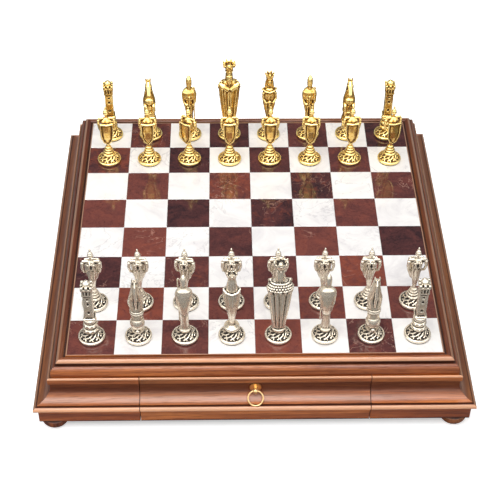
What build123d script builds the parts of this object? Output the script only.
from build123d import *
from math import cos, radians, sin, sqrt
import os

# A chess box: a stone board in a moulded wooden frame, on a low moulded base with a drawer at the front
# and one at the back. The set of chess men stands on the board.
# Millimetres. +Z is up, the viewer sits on the -Y side, and the origin is on the floor under the centre
# of the board.

# ---- board field ---------------------------------------------------------------------------------
square = 40.0  # side of one stone square
squares_per_side = 8
stone_thickness = 7.0
stone_chamfer = 0.25  # broken top edge of each square
backing_thickness = 5.7  # plywood panel under the stones
backing_lap = 6.0  # how far the panel runs into the rebate of the frame

# ---- board frame, section measured out from the field and down from the stone --------------------
frame_out = 13.6  # outer face at the bottom
frame_taper = 0.4  # lean of the outer face
inner_fillet_width = 1.0  # flat strip beside the stone
groove_width = 1.6
groove_depth = 1.2
crest_rise = 0.9  # top of the round above the stone
round_out = 8.8  # outer side of the round
round_side_drop = 1.6
round_foot_drop = 2.7
quirk_out = 8.0
quirk_drop = 4.0
thumb_in = 9.4  # inner edge of the thumb moulding
thumb_height = 3.6

# ---- base moulding, section measured out from the field and up from its bottom -------------------
base_height = 44.8
wall_in = 3.0  # inner face of the base walls
plinth_out = 26.0
plinth_height = 15.8
plinth_chamfer = 1.0
lip_out = 29.7
lip_radius = 2.4
cove_foot_step = 1.4  # small upright between the lip and the cove
cove_radius = 11.0
fillet_out = 16.4
fillet_drop = 6.6  # bottom of the fillet below the top of the base
fillet_ease = 0.4
bead_radius = 0.9
bead_drop = 0.1
quirk_width = 1.2
base_quirk_depth = 1.6

# ---- carcass -------------------------------------------------------------------------------------
floor_thickness = 5.0
floor_lap = 6.0  # rebate of the floor panel into the walls
floor_clearance = 0.2
floor_front_gap = 0.4  # between the floor panel and the drawer fronts
opening_width = 198.4  # drawer opening
guide_thickness = 8.0
partition_thickness = 10.0
glue_block_side = 16.0
stop_batten_width = 8.0
stop_batten_height = 3.0
stop_batten_end_gap = 9.2  # between a batten and the sides of the opening

# ---- drawers -------------------------------------------------------------------------------------
drawer_side_gap = 0.7  # each side of a drawer
drawer_under_gap = 0.2  # between a drawer and the floor it slides on
drawer_over_gap = 0.4  # between a drawer front and the board frame
drawer_back_gap = 1.0  # between a drawer and the partition
drawer_travel = 125.0
drawer_stop_gap = 0.3  # left at the stop when a drawer is out
drawer_wood = 7.0  # sides
drawer_back_wood = 6.0
drawer_top_gap = 0.5  # between the raised back and the panel under the board
drawer_under_batten_gap = 0.6  # between the sides and the stop battens
drawer_lap = 6.0  # housing of the sides in the front
drawer_bottom_thickness = 3.0
drawer_bottom_lift = 4.0  # groove above the lower edge of the sides
drawer_groove_depth = 3.0
drawer_groove_play = 0.1
lining_thickness = 1.0
lining_margin = 0.2

# ---- ring pulls ----------------------------------------------------------------------------------
pull_height = 31.2  # ball above the bottom of the base
pull_out = 19.3  # ball out from the field
pull_plate_diameter = 10.0
pull_plate_thickness = 1.0
pull_seat_depth = 0.5  # plate let into the upright part of the cove
pull_seat_play = 0.2
pull_ball_diameter = 5.2
pull_stem_diameter = 3.0
pull_collar_diameter = 4.2
pull_collar_thickness = 0.8
pull_hole_diameter = 2.4  # eye through the ball
pull_stem_play = 0.05
ring_diameter = 13.0  # centre line of the wire
ring_wire = 1.5
ring_lean = 40.0  # degrees from hanging straight, where the ring lies on the lip
pull_nut_width = 5.5
pull_nut_thickness = 2.4

# ---- feet ----------------------------------------------------------------------------------------
foot_height = 11.0
foot_diameter = 24.0
foot_neck_diameter = 18.0
foot_sole_diameter = 17.0
foot_out = 14.0  # foot centre out from the field, both ways
foot_pad_thickness = 1.0
foot_pad_diameter = 15.0
screw_diameter = 4.0
screw_head_diameter = 8.0
screw_head_height = 2.6
screw_head_rise = 4.0  # under side of the head above the sole of the foot
screw_grip = 18.0  # length in the base
screw_play = 0.05

# ---- chess men -----------------------------------------------------------------------------------
felt_thickness = 0.8
felt_diameter = 22.0
man_foot_diameter = 23.4
man_rim_height = 2.4
man_foot_height = 9.0

# ---- worked out from the above -------------------------------------------------------------------
field = square * squares_per_side
half_field = field / 2
base_bottom = foot_pad_thickness + foot_height
base_top = base_bottom + base_height
frame_height = backing_thickness + stone_thickness
board_top = base_top + frame_height
wall_face = half_field + wall_in
opening_half = opening_width / 2
drawer_half = opening_half - drawer_side_gap
floor_top = base_bottom + floor_thickness
drawer_low = floor_top + drawer_under_gap
drawer_back_end = partition_thickness / 2 + drawer_back_gap
drawer_side_top = base_top - stop_batten_height - drawer_under_batten_gap
drawer_back_top = base_top - drawer_top_gap
cove_wall = plinth_out - cove_radius
lip_top = plinth_height + 2 * lip_radius
cove_foot = lip_top + cove_foot_step
pull_seat = cove_wall - pull_seat_depth
man_floor = board_top + felt_thickness

sides = {
    "front": Vector(0, -1, 0),
    "back": Vector(0, 1, 0),
    "left": Vector(-1, 0, 0),
    "right": Vector(1, 0, 0),
}
up = Vector(0, 0, 1)


# ---- helpers -------------------------------------------------------------------------------------
def section_plane(outward, height):
    """Plane of a moulding's section: x runs outward from the field edge and y upward."""
    return Plane(origin=outward * half_field + up * height, x_dir=outward, z_dir=outward.cross(up))


def mitre(outward):
    """Cut the piece being made at both ends, on the diagonals of the board."""
    along = outward.cross(up)
    for end in (along, along * -1):
        split(bisect_by=Plane(origin=(0, 0, 0), z_dir=outward + end), keep=Keep.TOP)


def block(x_range, y_range, z_range, mode=Mode.ADD):
    """A squared piece of wood between three pairs of coordinates."""
    low, high = (Vector(*corner) for corner in zip(x_range, y_range, z_range))
    with Locations((low + high) * 0.5):
        Box(*(high - low), mode=mode)


def save(builder, name):
    """Label the finished piece and write it out."""
    builder.part.label = name
    export_step(builder.part, f"parts/{name}.step")


# ---- board ---------------------------------------------------------------------------------------
def stone_squares(name, odd):
    """Half of the squares, those whose column and row add up to an odd or an even number."""
    with BuildPart() as one_square:
        Box(square, square, stone_thickness, align=(Align.CENTER, Align.CENTER, Align.MAX))
        chamfer(one_square.edges().group_by(Axis.Z)[-1], stone_chamfer)
    first = square / 2 - half_field
    places = [
        (first + column * square, first + row * square, board_top)
        for column in range(squares_per_side)
        for row in range(squares_per_side)
        if (column + row) % 2 == odd
    ]
    with BuildPart() as squares:
        with Locations(*places):
            add(one_square.part)
    save(squares, name)


def board_backing():
    reach = half_field + backing_lap
    with BuildPart() as backing:
        block((-reach, reach), (-reach, reach), (base_top, base_top + backing_thickness))
    save(backing, "board_backing")


def frame_section():
    """Section of the board frame: rebate, inner fillet, groove, round, quirk and thumb moulding."""
    top = frame_height
    groove_end = inner_fillet_width + groove_width
    crest = (groove_end + round_out) / 2
    thumb_out = frame_out - frame_taper
    with BuildSketch() as section:
        with BuildLine():
            Polyline(
                (0, top),
                (inner_fillet_width, top),
                (inner_fillet_width, top - groove_depth),
                (groove_end, top - groove_depth),
                (groove_end, top - groove_depth / 4),
            )
            ThreePointArc(
                (groove_end, top - groove_depth / 4),
                (crest, top + crest_rise),
                (round_out, top - round_side_drop),
            )
            Polyline(
                (round_out, top - round_side_drop),
                (round_out, top - round_foot_drop),
                (quirk_out, top - (round_foot_drop + quirk_drop) / 2),
                (quirk_out, top - quirk_drop),
                (thumb_in, top - quirk_drop),
            )
            EllipticalCenterArc(
                center=(thumb_in, top - quirk_drop - thumb_height),
                x_radius=thumb_out - thumb_in,
                y_radius=thumb_height,
                start_angle=0,
                arc_size=90,
            )
            Polyline(
                (thumb_out, top - quirk_drop - thumb_height),
                (frame_out, 0),
                (backing_lap, 0),
                (backing_lap, backing_thickness),
                (0, backing_thickness),
                (0, top),
            )
        make_face()
    return section.sketch


def frame_rail(name, outward):
    with BuildPart() as rail:
        with BuildSketch(section_plane(outward, base_top)):
            add(frame_section())
        extrude(amount=half_field + lip_out, both=True)
        mitre(outward)
    save(rail, name)


# ---- base ----------------------------------------------------------------------------------------
def base_section():
    """Section of the base: plinth, lip, cove, fillet and bead."""
    top = base_height
    bead_in = fillet_out - 2 * bead_radius
    bead_side = top - bead_drop - bead_radius
    lip_in = lip_out - lip_radius
    slant = cove_radius * sin(radians(45))
    with BuildSketch() as section:
        with BuildLine():
            Polyline(
                (wall_in, 0),
                (plinth_out - plinth_chamfer, 0),
                (plinth_out, plinth_chamfer),
                (plinth_out, plinth_height),
                (lip_in, plinth_height),
            )
            ThreePointArc(
                (lip_in, plinth_height),
                (lip_out, plinth_height + lip_radius),
                (lip_in, lip_top),
            )
            Polyline((lip_in, lip_top), (plinth_out, lip_top), (plinth_out, cove_foot))
            ThreePointArc(
                (plinth_out, cove_foot),
                (plinth_out - slant, cove_foot + cove_radius - slant),
                (cove_wall, cove_foot + cove_radius),
            )
            Polyline(
                (cove_wall, cove_foot + cove_radius),
                (cove_wall, top - fillet_drop - fillet_ease),
                (fillet_out, top - fillet_drop),
                (fillet_out, bead_side),
            )
            ThreePointArc(
                (fillet_out, bead_side),
                (fillet_out - bead_radius, bead_side + bead_radius),
                (bead_in, bead_side),
            )
            Polyline(
                (bead_in, bead_side),
                (bead_in, top - base_quirk_depth),
                (bead_in - quirk_width, top - base_quirk_depth),
                (bead_in - quirk_width, top),
                (wall_in, top),
                (wall_in, 0),
            )
        make_face()
    return section.sketch


def cut_floor_rebate():
    reach = wall_face + floor_lap + floor_clearance
    block((-reach, reach), (-reach, reach), (base_bottom, floor_top), mode=Mode.SUBTRACT)


def cut_screw_holes():
    reach = half_field + foot_out
    with Locations(*[(x, y, base_bottom) for x in (-reach, reach) for y in (-reach, reach)]):
        Cylinder(
            screw_diameter / 2 + screw_play,
            screw_grip + screw_play,
            align=(Align.CENTER, Align.CENTER, Align.MIN),
            mode=Mode.SUBTRACT,
        )


def side_wall(name, outward):
    with BuildPart() as wall:
        with BuildSketch(section_plane(outward, base_bottom)):
            add(base_section())
        extrude(amount=half_field + lip_out, both=True)
        mitre(outward)
        cut_floor_rebate()
        cut_screw_holes()
    save(wall, name)


def end_block(name, outward, x_sign):
    """Fixed stretch of moulding between the drawer opening and the corner."""
    with BuildPart() as wall:
        with BuildSketch(section_plane(outward, base_bottom)):
            add(base_section())
        extrude(amount=half_field + lip_out, both=True)
        mitre(outward)
        split(bisect_by=Plane(origin=(x_sign * opening_half, 0, 0), z_dir=(x_sign, 0, 0)), keep=Keep.TOP)
        cut_floor_rebate()
        cut_screw_holes()
    save(wall, name)


def floor_panel():
    """Plywood floor, notched at the front and the back, where the drawer fronts hang in front of it."""
    reach = wall_face + floor_lap
    edge = wall_face - floor_front_gap
    with BuildPart() as panel:
        block((-reach, reach), (-reach, reach), (base_bottom, floor_top))
        for y_range in ((edge, reach), (-reach, -edge)):
            block((-opening_half, opening_half), y_range, (base_bottom, floor_top), mode=Mode.SUBTRACT)
    save(panel, "floor_panel")


def drawer_guide(name, x_sign):
    x_range = sorted((x_sign * opening_half, x_sign * (opening_half + guide_thickness)))
    with BuildPart() as guide:
        block(x_range, (-wall_face, wall_face), (floor_top, base_top))
    save(guide, name)


def centre_partition():
    with BuildPart() as partition:
        block(
            (-opening_half, opening_half),
            (-partition_thickness / 2, partition_thickness / 2),
            (floor_top, base_top),
        )
    save(partition, "centre_partition")


def drawer_stops():
    """Battens under the board that meet the raised back of a drawer that is fully out."""
    near = drawer_back_end + drawer_back_wood + drawer_travel + drawer_stop_gap
    far = near + stop_batten_width
    half_length = opening_half - stop_batten_end_gap
    with BuildPart() as stops:
        for y_range in ((near, far), (-far, -near)):
            block((-half_length, half_length), y_range, (base_top - stop_batten_height, base_top))
    save(stops, "drawer_stops")


def glue_blocks():
    place = wall_face - glue_block_side / 2
    with BuildPart() as blocks:
        with BuildSketch(Plane.XY.offset(floor_top)):
            with GridLocations(2 * place, 2 * place, 2, 2):
                Rectangle(glue_block_side, glue_block_side)
        extrude(amount=base_top - floor_top)
    save(blocks, "glue_blocks")


# ---- feet ----------------------------------------------------------------------------------------
def foot(name, x_sign, y_sign):
    """Turned bun foot with a counterbored hole for its screw."""
    middle = foot_pad_thickness + foot_height * 0.45
    reach = half_field + foot_out
    centre = Vector(x_sign * reach, y_sign * reach, 0)
    sole = centre + up * foot_pad_thickness
    with BuildPart() as bun:
        with BuildSketch(Plane(origin=centre, x_dir=(1, 0, 0), z_dir=(0, -1, 0))):
            with BuildLine():
                Line((0, foot_pad_thickness), (foot_sole_diameter / 2, foot_pad_thickness))
                Spline(
                    (foot_sole_diameter / 2, foot_pad_thickness),
                    (foot_diameter / 2, middle),
                    (foot_neck_diameter / 2, base_bottom),
                    tangents=((1, 0.6), (-1, 0.5)),
                )
                Polyline((foot_neck_diameter / 2, base_bottom), (0, base_bottom), (0, foot_pad_thickness))
            make_face()
        revolve(axis=Axis(centre, up))
        with Locations(sole):
            Cylinder(
                screw_diameter / 2 + screw_play,
                foot_height,
                align=(Align.CENTER, Align.CENTER, Align.MIN),
                mode=Mode.SUBTRACT,
            )
            Cylinder(
                screw_head_diameter / 2 + screw_play,
                screw_head_rise,
                align=(Align.CENTER, Align.CENTER, Align.MIN),
                mode=Mode.SUBTRACT,
            )
    save(bun, name)


def foot_screws():
    reach = half_field + foot_out
    head_top = foot_pad_thickness + screw_head_rise
    with BuildPart() as screws:
        with BuildSketch(Plane.XY.offset(head_top - screw_head_height)):
            with GridLocations(2 * reach, 2 * reach, 2, 2):
                Circle(screw_head_diameter / 2)
        extrude(amount=screw_head_height)
        with BuildSketch(Plane.XY.offset(head_top)):
            with GridLocations(2 * reach, 2 * reach, 2, 2):
                Circle(screw_diameter / 2)
        extrude(amount=base_bottom + screw_grip - head_top)
    save(screws, "foot_screws")


def foot_pads():
    reach = half_field + foot_out
    with BuildPart() as pads:
        with BuildSketch():
            with GridLocations(2 * reach, 2 * reach, 2, 2):
                Circle(foot_pad_diameter / 2)
        extrude(amount=foot_pad_thickness)
    save(pads, "foot_pads")


# ---- drawers, made for the front and turned half round for the back ------------------------------
def save_drawer_piece(builder, end, name, half_turn):
    """Save a piece of the front drawer, or turn it half round for the back one."""
    with BuildPart() as placed:
        add(builder.part, rotation=(0, 0, 180 if half_turn else 0))
    save(placed, f"{end}_{name}")


def drawer_front(end, half_turn):
    outward = sides["front"]
    inner_face = -wall_face
    groove_low = drawer_low + drawer_bottom_lift
    with BuildPart() as front:
        with BuildSketch(section_plane(outward, base_bottom)):
            add(base_section())
        extrude(amount=drawer_half, both=True)
        block(
            (-drawer_half, drawer_half),
            (-half_field - frame_out - frame_taper, inner_face),
            (base_top - drawer_over_gap, base_top),
            mode=Mode.SUBTRACT,
        )
        for x_range in ((-drawer_half, -drawer_half + drawer_wood), (drawer_half - drawer_wood, drawer_half)):
            block(
                x_range,
                (inner_face - drawer_lap, inner_face),
                (drawer_low, drawer_side_top),
                mode=Mode.SUBTRACT,
            )
        block(
            (-drawer_half + drawer_wood - drawer_groove_depth, drawer_half - drawer_wood + drawer_groove_depth),
            (inner_face - drawer_groove_depth, inner_face),
            (groove_low, groove_low + drawer_bottom_thickness + drawer_groove_play),
            mode=Mode.SUBTRACT,
        )
        with BuildSketch(section_pull_plane(pull_seat)):
            Circle(pull_plate_diameter / 2 + pull_seat_play)
        extrude(amount=plinth_out - pull_seat, mode=Mode.SUBTRACT)
        with BuildSketch(section_pull_plane(wall_in)):
            Circle(pull_stem_diameter / 2 + pull_stem_play)
        extrude(amount=plinth_out - wall_in, mode=Mode.SUBTRACT)
    save_drawer_piece(front, end, "drawer_front", half_turn)


def drawer_side(end, half_turn, x_sign, name):
    """Side with a housed front end and a groove for the bottom."""
    x_range = sorted((x_sign * drawer_half, x_sign * (drawer_half - drawer_wood)))
    inner = x_sign * (drawer_half - drawer_wood)
    groove = sorted((inner, inner + x_sign * drawer_groove_depth))
    groove_low = drawer_low + drawer_bottom_lift
    y_range = (-wall_face - drawer_lap, -drawer_back_end)
    with BuildPart() as side:
        block(x_range, y_range, (drawer_low, drawer_side_top))
        block(
            groove,
            y_range,
            (groove_low, groove_low + drawer_bottom_thickness + drawer_groove_play),
            mode=Mode.SUBTRACT,
        )
    save_drawer_piece(side, end, name, half_turn)


def drawer_back(end, half_turn):
    inner = drawer_half - drawer_wood
    low = drawer_low + drawer_bottom_lift + drawer_bottom_thickness
    with BuildPart() as back:
        block(
            (-inner, inner),
            (-drawer_back_end - drawer_back_wood, -drawer_back_end),
            (low, drawer_back_top),
        )
    save_drawer_piece(back, end, "drawer_back", half_turn)


def drawer_bottom(end, half_turn):
    reach = drawer_half - drawer_wood + drawer_groove_depth - drawer_groove_play
    low = drawer_low + drawer_bottom_lift
    with BuildPart() as bottom:
        block(
            (-reach, reach),
            (-wall_face - drawer_groove_depth + drawer_groove_play, -drawer_back_end),
            (low, low + drawer_bottom_thickness),
        )
    save_drawer_piece(bottom, end, "drawer_bottom", half_turn)


def drawer_lining(end, half_turn):
    reach = drawer_half - drawer_wood - lining_margin
    low = drawer_low + drawer_bottom_lift + drawer_bottom_thickness
    with BuildPart() as lining:
        block(
            (-reach, reach),
            (-wall_face + lining_margin, -drawer_back_end - drawer_back_wood - lining_margin),
            (low, low + lining_thickness),
        )
    save_drawer_piece(lining, end, "drawer_lining", half_turn)


# ---- ring pulls ----------------------------------------------------------------------------------
def section_pull_plane(out):
    """Upright plane across the pull's stem, at a distance out from the field, facing the viewer."""
    return Plane(
        origin=(0, -half_field - out, base_bottom + pull_height),
        x_dir=(1, 0, 0),
        z_dir=(0, -1, 0),
    )


def pull_plate(end, half_turn):
    with BuildPart() as plate:
        with BuildSketch(section_pull_plane(pull_seat)):
            Circle(pull_plate_diameter / 2)
            Circle(pull_stem_diameter / 2 + pull_stem_play, mode=Mode.SUBTRACT)
        extrude(amount=pull_plate_thickness)
    save_drawer_piece(plate, end, "pull_plate", half_turn)


def pull_post(end, half_turn):
    """Ball on a stem that runs through the plate and the drawer front, with an eye for the ring."""
    ball_radius = pull_ball_diameter / 2
    stem_radius = pull_stem_diameter / 2
    collar_start = pull_seat + pull_plate_thickness
    collar_end = collar_start + pull_collar_thickness
    stem_end = pull_out - sqrt(ball_radius**2 - stem_radius**2)
    height = base_bottom + pull_height
    with BuildPart() as post:
        with BuildSketch(section_plane(sides["front"], height)):
            with BuildLine():
                Polyline(
                    (pull_out + ball_radius, 0),
                    (wall_in - pull_nut_thickness, 0),
                    (wall_in - pull_nut_thickness, stem_radius),
                    (collar_start, stem_radius),
                    (collar_start, pull_collar_diameter / 2),
                    (collar_end, pull_collar_diameter / 2),
                    (collar_end, stem_radius),
                    (stem_end, stem_radius),
                )
                ThreePointArc((stem_end, stem_radius), (pull_out, ball_radius), (pull_out + ball_radius, 0))
            make_face()
        revolve(axis=Axis((0, -half_field, height), (0, -1, 0)))
        with Locations((0, -half_field - pull_out, height)):
            Cylinder(
                pull_hole_diameter / 2,
                2 * pull_ball_diameter,
                rotation=(0, 90, 0),
                mode=Mode.SUBTRACT,
            )
    save_drawer_piece(post, end, "pull_post", half_turn)


def pull_nut(end, half_turn):
    with BuildPart() as nut:
        with BuildSketch(section_pull_plane(wall_in - pull_nut_thickness)):
            RegularPolygon(pull_nut_width / 2, 6, major_radius=False)
            Circle(pull_stem_diameter / 2 + pull_stem_play, mode=Mode.SUBTRACT)
        extrude(amount=pull_nut_thickness)
    save_drawer_piece(nut, end, "pull_nut", half_turn)


def pull_ring(end, half_turn):
    """Ring through the eye of the ball, leaning on the lip of the drawer front."""
    half_chord = pull_ball_diameter / 2
    sag = ring_diameter / 2 - sqrt((ring_diameter / 2) ** 2 - half_chord**2)
    drop = ring_diameter / 2 - sag / 2
    lean = radians(ring_lean)
    eye = Vector(0, -half_field - pull_out, base_bottom + pull_height)
    down_the_ring = Vector(0, -sin(lean), -cos(lean))
    across_the_ring = Vector(0, -cos(lean), sin(lean))
    with BuildPart() as ring:
        with Locations(Plane(origin=eye + down_the_ring * drop, x_dir=(1, 0, 0), z_dir=across_the_ring)):
            Torus(ring_diameter / 2, ring_wire / 2)
    save_drawer_piece(ring, end, "pull_ring", half_turn)


# ---- chess men -----------------------------------------------------------------------------------
def spun(outline):
    """A turned shape: (radius, height) points spun about the man's own axis."""
    with BuildPart() as shape:
        with BuildSketch(Plane.XZ):
            with BuildLine():
                Polyline((0, outline[0][1]), *outline, (0, outline[-1][1]), close=True)
            make_face()
        revolve(axis=Axis.Z)
    return shape.part


def draped(*stations):
    """A smooth body through ellipses given as (height, width, depth, distance back)."""
    with BuildPart() as shape:
        for height, width, depth, back in stations:
            with BuildSketch(Plane.XY.offset(height)):
                with Locations((0, back)):
                    Ellipse(width / 2, depth / 2)
        loft()
    return shape.part


def limb(start, end, start_diameter, end_diameter):
    """A round tapering limb, muzzle or neck between two points."""
    direction = Vector(*end) - Vector(*start)
    with BuildPart() as shape:
        with BuildSketch(Plane(origin=start, z_dir=direction)):
            Circle(start_diameter / 2)
        with BuildSketch(Plane(origin=end, z_dir=direction)):
            Circle(end_diameter / 2)
        loft()
    return shape.part


def joined(*pieces):
    """One casting out of its forms."""
    with BuildPart() as man:
        for piece in pieces:
            add(piece)
    return man.part


def man_foot():
    """Round domed foot with a rim and a stepped top, the same under every man."""
    rim = man_foot_diameter / 2
    return spun(
        [
            (rim - 0.7, 0),
            (rim, 0.8),
            (rim, man_rim_height - 0.6),
            (rim - 0.6, man_rim_height),
            (rim - 1.6, man_rim_height),
            (rim - 2.2, man_rim_height + 1.4),
            (rim - 3.4, man_rim_height + 2.0),
            (rim - 5.4, man_rim_height + 4.0),
            (rim - 6.4, man_foot_height),
        ]
    )


def king():
    """Crowned figure in a full robe, broad at the shoulders."""
    robe = draped(
        (8, 10, 9, 0),
        (22, 12, 9.5, 0),
        (42, 17, 10.5, 0),
        (60, 21, 10.5, 0),
        (65, 17.5, 8.5, 0),
        (68.5, 6, 6, 0),
    )
    head = spun([(2.4, 67), (2.6, 70), (3.9, 74), (3.6, 78), (3.6, 80), (5.8, 89.2), (4.8, 89.2), (3.2, 82)])
    return joined(man_foot(), robe, head)


def queen():
    """Slender figure with a veil and a small coronet."""
    gown = draped(
        (8, 9, 9, 0),
        (22, 8.5, 8, 0),
        (44, 15, 9.5, 0),
        (55, 11.6, 8, 0.2),
        (63, 10.4, 8, 0.4),
        (70, 7.4, 6.6, 0.2),
    )
    coronet = spun([(2.6, 69), (3.2, 71), (4.8, 77.2), (3.8, 77.2), (2.4, 73), (1.2, 77.4)])
    return joined(man_foot(), gown, coronet)


def bishop():
    """Robed figure with a small head under a pointed mitre."""
    robe = draped(
        (8, 9, 9, 0),
        (20, 10, 8.5, 0),
        (38, 13.5, 9, 0),
        (52, 16.7, 9, 0),
        (57, 12, 7, 0),
        (60, 5, 5, 0),
    )
    head = spun([(2, 59), (2.3, 61), (3.1, 63.5), (3, 66), (3.4, 67), (2.4, 71), (0.4, 74)])
    return joined(man_foot(), robe, head)


def knight():
    """Rearing horse: haunches on the foot, arched neck and a head that looks forward."""
    body = draped(
        (8, 9, 9, 0),
        (15, 12, 13, 1.5),
        (26, 9.5, 10, 0.5),
        (38, 12, 12, -1.5),
        (48, 9, 10.5, -0.5),
        (56, 7, 9.6, 1.2),
        (64.4, 5, 6, 1.5),
    )
    muzzle = limb((0, 2, 61.4), (0, -8.6, 53.6), 6.6, 4)
    forelegs = [limb((side, -2, 39.4), (side, -10.4, 44.8), 4.2, 3) for side in (-3.2, 3.2)]
    ears = [limb((side, 1.6, 62), (side, 1.2, 67.4), 2.4, 0.8) for side in (-1.5, 1.5)]
    return joined(man_foot(), body, muzzle, *forelegs, *ears)


def rook():
    """Slender square tower on a stack of rings, with a battlement and a dome."""
    lower_ring = [(5, 8), (6.4, 11), (6.4, 13), (5.2, 14.5)]
    middle_ring = [(6.2, 17), (6.2, 19.5), (5, 21)]
    upper_ring = [(6, 23), (6, 25), (4, 26)]
    with BuildPart() as tower:
        add(man_foot())
        add(spun(lower_ring + middle_ring + upper_ring))
        with BuildSketch(Plane.XY.offset(24)):
            Rectangle(9.6, 9.6)
        extrude(amount=3.4)
        with BuildSketch(Plane.XY.offset(25)):
            Rectangle(8.4, 8.4)
        extrude(amount=30, taper=0.8)
        with BuildSketch(Plane.XY.offset(53)):
            Rectangle(10.4, 10.4)
        extrude(amount=10)
        with BuildSketch(Plane.XY.offset(60)):
            Rectangle(2.2, 12)
            Rectangle(12, 2.2)
        extrude(amount=4, mode=Mode.SUBTRACT)
        add(spun([(2.4, 59), (3, 63.5), (2.4, 66.4), (1.2, 67.6)]))
    return tower.part


def pawn():
    """Helmeted foot soldier in a long cloak drawn in to a thin stem, with a shield in front."""
    cloak = draped(
        (8, 9.6, 9.6, 0),
        (14, 6.6, 6.4, 0),
        (21, 4.6, 4.6, 0),
        (33, 9.6, 7.4, 0),
        (44, 15.5, 8.5, 0),
        (48.5, 17, 8, 0),
        (52, 10, 6, 0),
        (54, 4.6, 4.6, 0),
    )
    head = spun([(1.9, 53), (2.2, 54), (3, 56), (3, 58), (2.3, 60.5), (0.6, 62.5), (0.9, 64), (0.3, 65.6)])
    with BuildPart() as shield:
        with BuildSketch(Plane.XZ.offset(1.5)):
            with BuildLine():
                Polyline((0, 47), (6.6, 47), (6.2, 36), (3.8, 28), (0, 23.5))
                mirror(about=Plane.YZ)
            make_face()
        extrude(amount=4.1)
    return joined(man_foot(), cloak, head, shield.part)


def set_of_men(colour, back_row, pawn_row, half_turn, king_file):
    """Stand one side's men on their squares, each kind in one group.

    Rows and files count in squares from the centre of the board, so they run from -3.5 to 3.5.
    """
    places = {
        "king": (king(), back_row, [king_file]),
        "queen": (queen(), back_row, [-king_file]),
        "bishops": (bishop(), back_row, [-1.5, 1.5]),
        "knights": (knight(), back_row, [-2.5, 2.5]),
        "rooks": (rook(), back_row, [-3.5, 3.5]),
        "pawns": (pawn(), pawn_row, [file - 3.5 for file in range(8)]),
    }
    for kind, (man, row, files) in places.items():
        with BuildPart() as group:
            with Locations(*[(file * square, row * square, man_floor) for file in files]):
                add(man, rotation=(0, 0, half_turn))
        save(group, f"{colour}_{kind}")


def men_felts():
    first = square / 2 - half_field
    files = [first + file * square for file in range(squares_per_side)]
    rows = [files[0], files[1], files[-2], files[-1]]
    with BuildPart() as felts:
        with BuildSketch(Plane.XY.offset(board_top)):
            with Locations(*[(x, y) for x in files for y in rows]):
                Circle(felt_diameter / 2)
        extrude(amount=felt_thickness)
    save(felts, "men_felts")


# ---- the whole box -------------------------------------------------------------------------------
os.makedirs("parts", exist_ok=True)
stone_squares("dark_squares", 0)
stone_squares("light_squares", 1)
board_backing()
for side, outward in sides.items():
    frame_rail(f"{side}_frame_rail", outward)
for side in ("left", "right"):
    side_wall(f"{side}_base_wall", sides[side])
for end in ("front", "back"):
    for side, x_sign in (("left", -1), ("right", 1)):
        end_block(f"{end}_{side}_end_block", sides[end], x_sign)
        foot(f"{end}_{side}_foot", x_sign, -1 if end == "front" else 1)
floor_panel()
drawer_guide("left_drawer_guide", -1)
drawer_guide("right_drawer_guide", 1)
centre_partition()
drawer_stops()
glue_blocks()
foot_screws()
foot_pads()
for end, half_turn in (("front", False), ("back", True)):
    drawer_front(end, half_turn)
    drawer_side(end, half_turn, -1, "drawer_left_side")
    drawer_side(end, half_turn, 1, "drawer_right_side")
    drawer_back(end, half_turn)
    drawer_bottom(end, half_turn)
    drawer_lining(end, half_turn)
    pull_plate(end, half_turn)
    pull_post(end, half_turn)
    pull_nut(end, half_turn)
    pull_ring(end, half_turn)
set_of_men("gold", 3.5, 2.5, 0, -0.5)
set_of_men("silver", -3.5, -2.5, 180, 0.5)
men_felts()
